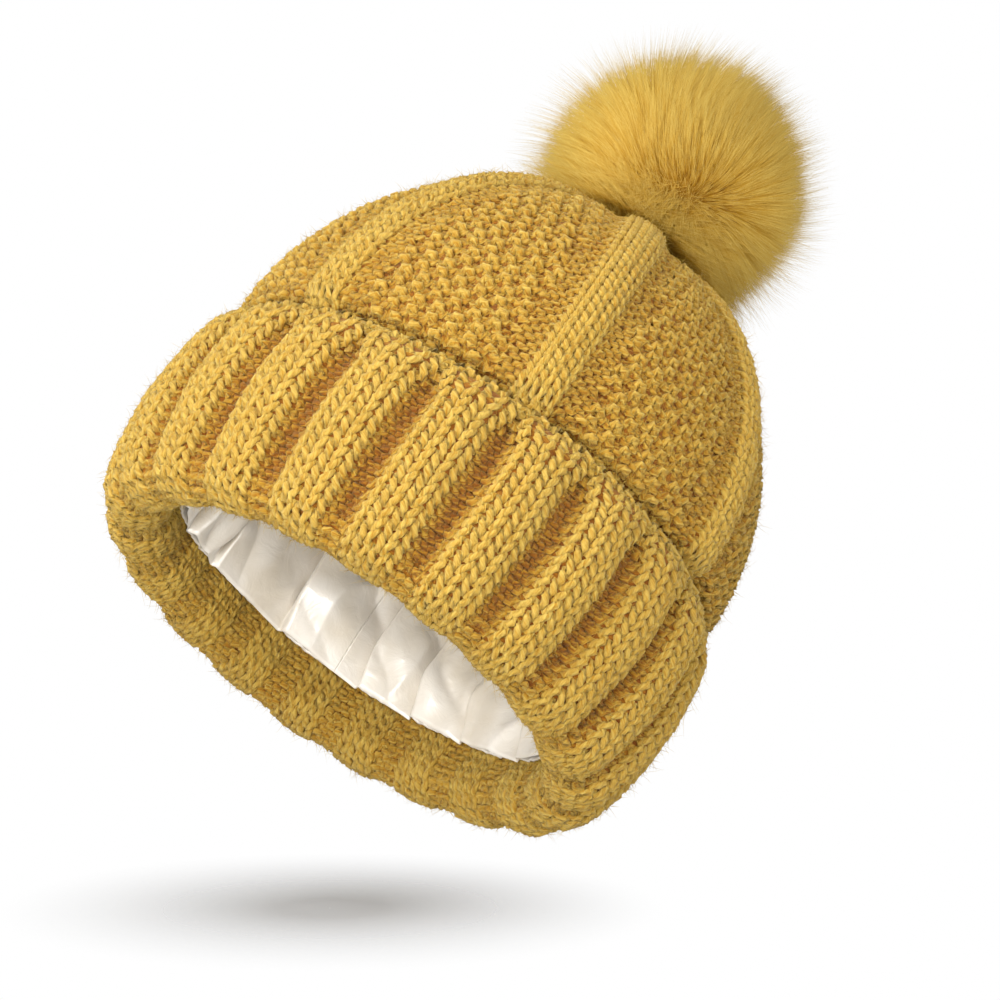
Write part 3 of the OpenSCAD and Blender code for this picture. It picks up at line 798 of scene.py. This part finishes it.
# Crown of the lining: a round of the same satin, eased into the sides' upper edge in soft pleats that run
# out towards its middle, and caught there under the press stud.
up_wall = np.linspace(lining_s1, outline_s[-1] - 9, 60)[:, None]
around = np.linspace(pleat_edge[0], pleat_edge[-1], LINING_COLS * 3 // 4, endpoint=False)[None, :]
share = (up_wall - lining_s1) / (up_wall[-1] - lining_s1)
crown_puff = mix(PUFF * 0.25, 0.4, ease(share, 0.1, 0.9)) + 3.0 * ease(share, 0.75, 1.0)
grid = satin_at(up_wall + 0 * around, around + 0 * up_wall, crown_puff + 0 * around)
grid[:, :, 2] = np.minimum(grid[:, :, 2], box_mm("lining_crown")[1][2] - 0.3)
middle = grid[-1].copy()
inner = [np.concatenate([middle[:, :2] * f, middle[:, 2:] * f + (1 - f) * middle[:, 2:].mean()], 1)
         for f in (0.8, 0.55, 0.3, 0.08)]
grid = np.concatenate([grid, np.array(inner)])
points, sheets = thick_sheet(grid, True, SATIN_T)
piece = mesh_piece("lining_crown_satin", points, sheets, ivory_satin, "hat")
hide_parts("lining_crown")

# Hem: the lower edge of the satin, a strip folded double round it and puckered by its stitches.
HEM_H, HEM_FOLD = 5.6, 0.5
going_up = np.linspace(lining_s0 + 1.4, lining_s0 + 1.4 + HEM_H, 10)
up_wall = np.concatenate([going_up[::-1], going_up])[:, None]
inside = np.repeat([0.0, HEM_FOLD], 10)[:, None]
around = np.linspace(pleat_edge[0], pleat_edge[-1], LINING_COLS, endpoint=False)[None, :]
pucker = 0.22 * np.sin(around * 118) + 0.18 * np.sin(around * 71 + 1)
grid = satin_at(up_wall + 0 * around, around + 0 * up_wall, -1.1 + inside + pucker)
points, sheets = thick_sheet(grid, True, SATIN_T)
piece = mesh_piece("lining_hem_strip", points, sheets, ivory_satin, "hat")
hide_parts("lining_hem")


# Sewing thread in the lining: short stitches of matt polyester thread along its hem and its seams.
def stitches(line, facing, pitch, length, radius):
    """Small closed stitches laid along a line of points, each bowed a little off the cloth."""
    run = np.concatenate([[0], np.cumsum(np.linalg.norm(np.diff(line, axis=0), axis=1))])
    starts = np.arange(0, run[-1] - length, pitch)
    t = np.linspace(0, 1, 6)
    at = starts[:, None] + t[None] * length
    paths = np.stack([np.interp(at, run, line[:, i]) for i in range(3)], -1)
    face = np.stack([np.interp(at, run, facing[:, i]) for i in range(3)], -1)
    paths = paths + face * (radius * np.sin(math.pi * t)[None, :, None])
    widths = np.broadcast_to(2 * radius * np.array([0.4, 1, 1, 1, 0.9, 0.2])[None], paths.shape[:2])
    return hair_mesh(paths, widths)


sewing_thread = soft_fibre("matt_sewing_thread", "#E2DCD0", "#EAE5DB", "#E2DCD0", Roughness=0.6)
THREAD_R = 0.16
around = np.linspace(pleat_edge[0], pleat_edge[-1], 3000)
for name, s, puff_at, replaced in (("hem_stitches", lining_s0 + 1.0, PUFF_AT_HEM + 0.2, "lining_stitches"),
                                   ("crown_seam_stitches", lining_s1, PUFF * 0.25, "lining_crown_seam")):
    line = satin_at(np.full(len(around), s), around, np.full(len(around), puff_at + 0.25))
    facing = -line * [1, 1, 0] / np.linalg.norm(line[:, :2], axis=1)[:, None]
    points, sheets = stitches(line, facing, 3.6, 2.2, THREAD_R)
    piece = mesh_piece(name, points, sheets, sewing_thread, "hat")
    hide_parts(replaced)
s = np.linspace(lining_s0 + HEM_H, lining_s1 - 2, 400)
share = (s - lining_s0) / (lining_s1 - lining_s0)
seam_puff = mix(PUFF_AT_HEM, PUFF, ease(share, -0.03, 0.14)) * (1 - 0.75 * ease(share, 0.55, 1.0))
made = []
for a in (math.pi / 2, 3 * math.pi / 2):
    line = satin_at(s, np.full(len(s), a), seam_puff + 0.1)
    facing = -line * [1, 1, 0] / np.linalg.norm(line[:, :2], axis=1)[:, None]
    made.append(stitches(line, facing, 3.2, 2.4, THREAD_R))
points = np.concatenate([made[0][0], made[1][0]])
later = [(f + len(made[0][0]), m) for f, m in made[1][1]]
piece = mesh_piece("side_seam_stitches", points, made[0][1] + later, sewing_thread, "hat")
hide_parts("lining_side_seams")


# ---------------------------------------------------------------------------
# Felt patch in the crown: a punched disc of pressed felt between the knit and the eyelet's flange,
# which spreads the pull of the press stud.
def turned(outline, cols, uneven=0.0, seed=1):
    """A closed solid turned from a closed outline of [radius, height], with an uneven surface."""
    outline = np.asarray(outline, float)
    angle = np.arange(cols) * 2 * math.pi / cols
    lumps = np.random.default_rng(seed).normal(0, 1, (3, 8, 4))
    r = np.broadcast_to(outline[:, 0, None], (len(outline), cols)).copy()
    z = np.broadcast_to(outline[:, 1, None], r.shape).copy()
    if uneven:
        wave = sum(lumps[0, k, 0] * np.sin((k + 1) * angle[None] + outline[:, 1, None] * lumps[1, k, 1] * 0.4
                   + lumps[2, k, 2]) for k in range(8)) / 3
        r = r * (1 + uneven * wave / 25)
        z = z + uneven * 0.5 * np.roll(wave, cols // 5, 1)
    points = np.stack([r * np.cos(angle), r * np.sin(angle), z], -1).reshape(-1, 3)
    faces, row, col = grid_faces(len(outline), cols, True, True)
    return points, [(faces[:, ::-1], {"OFBake": np.stack([col / cols, row / len(outline)], -1)[:, ::-1]})]


def disc_outline(inside, outside, low, high, round_mm):
    """A flat ring's cross-section with rounded edges, counter-clockwise from its inner lower corner."""
    corner = np.linspace(0, math.pi / 2, 5)
    parts = []
    for k, (r, z) in enumerate(((outside - round_mm, low + round_mm), (outside - round_mm, high - round_mm),
                                (inside + round_mm, high - round_mm), (inside + round_mm, low + round_mm))):
        turn = corner + (k - 1) * math.pi / 2
        parts.append(np.stack([r + round_mm * np.cos(turn), z + round_mm * np.sin(turn)], 1))
    flat = [np.linspace(parts[k][-1], parts[(k + 1) % 4][0], 8)[1:-1] for k in range(4)]
    return np.concatenate([p for k in range(4) for p in (parts[k], flat[k])])


def pressed_felt(name, light, deep):
    """Pressed felt: matt and fibrous, with no weave, mottled where its fibres mat together."""
    made, tree, base = shader(name, Roughness=0.95, Specular_IOR_Level=0.15, Sheen_Weight=0.3)
    place = node(tree, "ShaderNodeTexCoord").outputs["Object"]
    mottle = node(tree, "ShaderNodeTexNoise", Vector=place, Scale=1 / (2.5 * MM), Detail=3.0).outputs[0]
    # Real fibres are too fine to show, so they are drawn 0.4 mm apart.
    fibres = node(tree, "ShaderNodeTexNoise", Vector=place, Scale=1 / (0.4 * MM), Detail=4.0,
                  Distortion=1.5).outputs[0]
    tone = total(tree, mottle, spread(tree, fibres, 0.3, 0.7, -0.2, 0.2))
    tree.links.new(ramp(tree, tone, (0.3, deep), (0.7, light)), base.inputs["Base Color"])
    bump = node(tree, "ShaderNodeBump", Height=fibres, Strength=0.5, Distance=0.3 * MM).outputs[0]
    tree.links.new(bump, base.inputs["Normal"])
    return made


brown_felt = pressed_felt("brown_pressed_felt", "#7A6431", "#57461F")
patch_low, patch_high = box_mm("crown_patch")
EYELET_HOLE, RIVET_HOLE = 2.45, 1.85
points, sheets = turned(disc_outline(EYELET_HOLE, patch_high[0], patch_low[2], patch_high[2], 0.4), 128, 0.06)
piece = mesh_piece("felt_patch", points, sheets, brown_felt, "hat")
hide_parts("crown_patch")


# ---------------------------------------------------------------------------
# Press stud: eyelet, socket and spring in the crown, stud and rivet cap under the pompom. They are
# stamped from brass sheet and nickel-plated, and keep their modelled shapes.
def nickel_plate(name, bright, dull, rough, line_mm):
    """Nickel plate on a stamping: a warm grey mirror dulled by fine drawn lines and handling."""
    made, tree, base = shader(name, Metallic=1.0)
    place = node(tree, "ShaderNodeTexCoord").outputs["Object"]
    lines = node(tree, "ShaderNodeMapping", Vector=place, Scale=(1, 1, 12)).outputs[0]
    drawn = node(tree, "ShaderNodeTexNoise", Vector=lines, Scale=1 / (line_mm * MM), Detail=3.0).outputs[0]
    smudge = node(tree, "ShaderNodeTexNoise", Vector=place, Scale=1 / (3 * MM), Detail=2.0).outputs[0]
    tree.links.new(ramp(tree, smudge, (0.3, dull), (0.7, bright)), base.inputs["Base Color"])
    tree.links.new(spread(tree, total(tree, drawn, smudge), 0.6, 1.4, rough - 0.08, rough + 0.1),
                   base.inputs["Roughness"])
    bump = node(tree, "ShaderNodeBump", Height=drawn, Strength=0.15, Distance=0.05 * MM).outputs[0]
    tree.links.new(bump, base.inputs["Normal"])
    return made


nickel = nickel_plate("nickel_plated_brass", "#D8D3C8", "#B4AEA1", 0.28, 1.5)
spring_steel = nickel_plate("drawn_spring_steel", "#B8B5AE", "#8C887F", 0.35, 0.6)
for name in ("snap_post", "snap_socket", "snap_stud", "snap_cap", "snap_spring"):
    metal = spring_steel if name == "snap_spring" else nickel
    frame["nodes"][name].data.materials.clear()
    frame["nodes"][name].data.materials.append(metal)

# ---------------------------------------------------------------------------
# Pompom base: a disc of the same felt, clamped between the stud and its domed rivet cap.
base_low, base_high = box_mm("pom_base")
golden_felt = pressed_felt("golden_pressed_felt", "#8A6E30", "#6A5222")
points, sheets = turned(disc_outline(RIVET_HOLE, base_high[0], base_low[2], base_high[2], 0.35), 128, 0.05)
piece = mesh_piece("felt_base", points, sheets, golden_felt, "stud")
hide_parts("pom_base")

# Drawn thread: a strong doubled thread run round the neck of the fur's backing, pulled tight, and sewn
# across through the base.
tie_high = box_mm("pom_tie")[1]
TIE_R, TIE_YARN_R = tie_high[0] - 1.0, 0.42
lean_z = frame["joints"][-1]["pos_m"][2] / MM
angle = np.arange(240) * 2 * math.pi / 240
# Each line is given a depth of 1.0, which sets how pale the thread's material paints it between its painted light
# and shade.
lines = []
for k in range(3):
    r = TIE_R + (-0.45, 0.45, 0.0)[k] + 0.12 * np.sin(11 * angle + 2 * k)
    z = lean_z + (-0.35, -0.3, 0.45)[k] + 0.12 * np.sin(8 * angle + k)
    lines.append((round_axis(r, angle, z), np.tile([0.0, 0.0, 1.0], (240, 1)), np.full(240, 1.0),
                  np.full(240, TIE_YARN_R)))
for k in range(6):
    turn = k * math.pi / 6
    along = np.stack([TIE_R * np.cos(angle), 0.5 * np.sin(angle),
                      lean_z + 0.1 * k - 0.25 + 0.4 * np.abs(np.sin(angle))], 1)
    spun = np.stack([along[:, 0] * math.cos(turn) - along[:, 1] * math.sin(turn),
                     along[:, 0] * math.sin(turn) + along[:, 1] * math.cos(turn), along[:, 2]], 1)
    lines.append((spun, np.tile([0.0, 0.0, 1.0], (240, 1)), np.full(240, 1.0), np.full(240, TIE_YARN_R)))
points, sheets = yarn_tubes(lines, twist=3.0)
# The thread's material paints light and shade as the yarn's does: its darker colours are painted shade, its palest
# painted light.
waxed_thread = brushed_acrylic("golden_linen_thread", "#D9B65C", "#C39A3E", "#96702A", "#6E4F1A")
piece = mesh_piece("drawn_thread", points, sheets, waxed_thread, "tie")
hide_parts("pom_tie")

# ---------------------------------------------------------------------------
# Pompom: a ball of loose polyester stuffing in a gathered round of faux fur, whose knitted backing
# holds a dense underpile and long fine mustard hairs that fan out from the drawn-up neck.
pom_high = box_mm("pom_fur")[1]
backing_low, backing_high = box_mm("pom_backing")
filling_low, filling_high = box_mm("pom_filling")
pom_r, pom_z = pom_high[0], pom_high[2] - pom_high[0]


def ball_outline(outer, inner, low, hole):
    """A hollow or full ball's cross-section, cut level underneath."""
    end = math.acos(np.clip((low - pom_z) / outer, -1, 1))
    top = np.linspace(0.02, end, 40)
    line = [np.stack([outer * np.sin(top), pom_z + outer * np.cos(top)], 1)]
    if inner:
        back = np.linspace(math.acos(np.clip((low + 0.4 - pom_z) / inner, -1, 1)), 0.02, 30)
        line.append(np.stack([inner * np.sin(back), pom_z + inner * np.cos(back)], 1))
    else:
        line.append(np.stack([np.linspace(line[0][-1, 0], hole, 12)[1:], np.full(11, low)], 1))
        line.append(np.stack([np.full(6, hole), np.linspace(low, line[0][0, 1], 8)[1:-1]], 1))
    return np.concatenate(line)[::-1]


stuffing_fibre = pressed_felt("loose_polyester_stuffing", "#F4F1E8", "#DDD8CA")
points, sheets = turned(ball_outline(filling_high[0] - 0.8, 0, filling_low[2] + 0.5, 0.3), 96, 0.7, 5)
piece = mesh_piece("stuffing_ball", points, sheets, stuffing_fibre, "pom")
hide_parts("pom_filling")

backing_knit = pressed_felt("knitted_polyester_backing", "#B98D33", "#8C6820")
backing_line = ball_outline(backing_high[0] - 0.1, filling_high[0] + 0.1, backing_low[2], 0.3)
points, sheets = turned(backing_line, 96, 0.12, 6)
piece = mesh_piece("fur_backing", points, sheets, backing_knit, "pom")
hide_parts("pom_backing")

# The fur: hairs in all, and how many of them are the longer guard hairs. Real hairs are too fine to show
# one by one, so these are drawn as thick at root and tip as they need to.
FUR_HAIRS, FUR_PIECES, GUARD_HAIRS = 62000, 9, 9000
FUR_ROOT, FUR_TIP = 0.15, 0.035
CLUMPS = 700                            # wisps that the hairs' tips draw together in
FUR_SOFT = 0.6                          # how far the light takes the fur as one round ball
UNDERPILE_R = 31.0
# Dark at the root and pale at the tip: painted shade deep in the pile and painted light at the tips.
fur_fibre = soft_fibre("mustard_faux_fur", "#97650D", "#B4891F", "#CDB35E", Roughness=0.75,
                       Specular_IOR_Level=0.25)
underpile = pressed_felt("matted_underpile", "#AE8020", "#7E5910")
underpile_line = ball_outline(UNDERPILE_R, backing_high[0] + 0.2, backing_low[2] + 0.3, 0.3)
points, sheets = turned(underpile_line, 128, 1.2, 9)
piece = mesh_piece("fur_underpile", points, sheets, underpile, "pom")
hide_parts("pom_fur")

fur_random = np.random.default_rng(31)
count = FUR_HAIRS
which = np.arange(count) + 0.5
height = 1 - 2 * which / count
spin = math.pi * (1 + 5 ** 0.5) * which + fur_random.normal(0, 0.05, count)
out = np.stack([np.sqrt(1 - height ** 2) * np.cos(spin), np.sqrt(1 - height ** 2) * np.sin(spin), height], 1)
out += fur_random.normal(0, 0.02, out.shape)
out /= np.linalg.norm(out, axis=1)[:, None]
out = out[pom_z + backing_high[0] * out[:, 2] > backing_low[2] + 0.6]
count = len(out)
root = out * (backing_high[0] - 0.2) + [0, 0, pom_z]
waves = fur_random.normal(0, 1, (3, 10, 3)) * 2.2
phases = fur_random.uniform(0, 2 * math.pi, (3, 10))
drift = np.stack([np.sin(out @ waves[k].T + phases[k]).sum(1) / 10 for k in range(3)], 1)
focus = np.array([0, 0, pom_z - 8.0])
start = root - focus
start /= np.linalg.norm(start, axis=1)[:, None]
guard = np.arange(count) % max(1, count // GUARD_HAIRS) == 0
reach = pom_r + 2.2 + 8.0 * drift[:, 0] + fur_random.normal(0, 1.6, count)
reach = np.where(guard, reach + fur_random.gamma(2.0, 5.0, count), reach)
reach = np.minimum(reach, pom_r + 16.0)
length = reach - backing_high[0] + 1.5
lean = drift - start * np.sum(drift * start, 1)[:, None]
lean = lean * 1.7 + fur_random.normal(0, 0.05, lean.shape)
tip = root + length[:, None] * (start + 0.45 * lean + [0, 0, -0.05])
clump_at = fur_random.normal(0, 1, (CLUMPS, 3))
clump_at /= np.linalg.norm(clump_at, axis=1)[:, None]
clump = np.concatenate([np.argmax(out[i:i + 4000] @ clump_at.T, 1) for i in range(0, count, 4000)])
sums = np.zeros((CLUMPS, 3))
np.add.at(sums, clump, tip)
members = np.bincount(clump, minlength=CLUMPS)
pull = (sums[clump] / members[clump][:, None] - tip) * fur_random.uniform(0.0, 0.5, (count, 1))
SKIRT_HAIRS, CROWN_YARN = 13000, 4.4
t = np.linspace(0, 1, 5)[None, :, None]
bend = start[:, None] * t + lean[:, None] * 0.45 * t ** 1.8 + np.array([0, 0, -0.05]) * t ** 2
paths = root[:, None] + length[:, None, None] * bend + pull[:, None] * t ** 1.6
paths += fur_random.normal(0, 0.14, paths.shape) * t
dome_side = outline_s > crown_start + 20


def crown_under(points):
    """Height of the knitted crown's own surface under points."""
    rho = np.linalg.norm(points[..., :2], axis=-1)
    return np.interp(rho, outline_rz[dome_side, 0][::-1], outline_rz[dome_side, 1][::-1]) + CROWN_YARN


around = fur_random.uniform(0, 2 * math.pi, SKIRT_HAIRS)
skirt_root = fur_random.uniform(8, 22, (SKIRT_HAIRS, 1))
skirt_r = skirt_root + fur_random.uniform(13, 32, (SKIRT_HAIRS, 1)) * t[:, :, 0]
swing = around[:, None] + fur_random.normal(0, 0.25, (SKIRT_HAIRS, 1)) * t[:, :, 0]
skirt = round_axis(skirt_r, swing, 0 * skirt_r)
skirt_top = backing_low[2] + 0.8
falls = fur_random.uniform(0, 1, (SKIRT_HAIRS, 1)) ** 0.7
skirt[:, :, 2] = (skirt_top - falls * (skirt_top - crown_under(skirt)) * (1 - np.exp(-7 * t[:, :, 0]))
                  + 3.0 * t[:, :, 0] ** 2)
paths = np.concatenate([paths, skirt])
guard = np.concatenate([guard, np.zeros(SKIRT_HAIRS, bool)])
count = len(paths)
from_middle = paths - [0, 0, pom_z]
far = np.linalg.norm(from_middle, axis=2, keepdims=True)
paths = [0, 0, pom_z] + from_middle * np.minimum(1, (pom_r + 16.5) / far)
crown_top = crown_under(paths)
sink = fur_random.uniform(0, 1.5, (count, 1))
low = crown_top + sink
under = paths[:, :, 2] < low
paths[:, :, 2] = np.where(under, low, paths[:, :, 2])
width = fur_random.uniform(0.75, 1.2, (count, 1)) * np.where(guard, 0.75, 1.0)[:, None]
widths = width * np.interp(np.linspace(0, 1, 5), [0, 0.4, 1], [FUR_ROOT, FUR_ROOT * 0.8, FUR_TIP])[None]
shuffled = fur_random.permutation(count)
for k in range(FUR_PIECES):
    mine = np.sort(shuffled[k::FUR_PIECES])
    points, sheets = hair_mesh(paths[mine], widths[mine])
    piece = mesh_piece(f"fur_pile_{k + 1}", points, sheets, fur_fibre, "pom")
    away = points - [0, 0, pom_z - 4.0]
    away /= np.linalg.norm(away, axis=1)[:, None]
    own = np.empty(len(points) * 3, np.float32)
    piece.data.vertex_normals.foreach_get("vector", own)
    soft = FUR_SOFT * away + (1 - FUR_SOFT) * own.reshape(-1, 3)
    piece.data.normals_split_custom_set_from_vertices((soft / np.linalg.norm(soft, axis=1)[:, None]).tolist())
    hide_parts("pom_fur")

# ---------------------------------------------------------------------------
# Floor: a grey disc under the hat as it is shown, faded out at its edge, that takes a soft shadow; its own grey is
# a painted shadow.
FLOOR_UP, FLOOR_R, FLOOR_RINGS = -80.0, 112.0, 24
FLOOR_TILT = 5.0
flat_right, flat_back = view_right, rest_view * -1
tilt = math.radians(FLOOR_TILT)
flat_back = (flat_back * math.cos(tilt) + view_up * math.sin(tilt)).normalized()
middle = in_view(-2, FLOOR_UP)
ring = np.linspace(0.002, 1, FLOOR_RINGS)
angle = np.arange(96) * 2 * math.pi / 96
grid = np.array([[(middle
                   + (flat_right * (math.cos(a) * q) + flat_back * (math.sin(a) * q)) * FLOOR_R * MM) / MM
                  for a in angle] for q in ring])
faces, row, col = grid_faces(FLOOR_RINGS, 96, False, True)
mesh = bpy.data.meshes.new("floor")
mesh.from_pydata((grid.reshape(-1, 3) * MM).tolist(), [], faces.tolist())
fade = mesh.uv_layers.new(name="fade")
fade.data.foreach_set("uv", np.stack([row / (FLOOR_RINGS - 1), col / 96], -1).astype(np.float32).ravel())
floor = bpy.data.objects.new("floor", mesh)
bpy.context.scene.collection.objects.link(floor)
# The grey base colour is a painted shadow, which the alpha below fades out from the middle into a soft patch.
painted_shadow_disc, tree, base = shader("grey_painted_shadow_floor", Roughness=0.9, Base_Color=linear("#A2A2A2"))
across_floor = node(tree, "ShaderNodeUVMap", {"uv_map": "fade"}).outputs[0]
out_from_middle = node(tree, "ShaderNodeSeparateXYZ", Vector=across_floor)
shown = spread(tree, out_from_middle.outputs["X"], 0.15, 1.0, 1.0, 0.0)
shown = node(tree, "ShaderNodeMath", {"operation": "POWER"}, i0=shown, i1=1.5).outputs[0]
tree.links.new(shown, base.inputs["Alpha"])
mesh.materials.append(painted_shadow_disc)
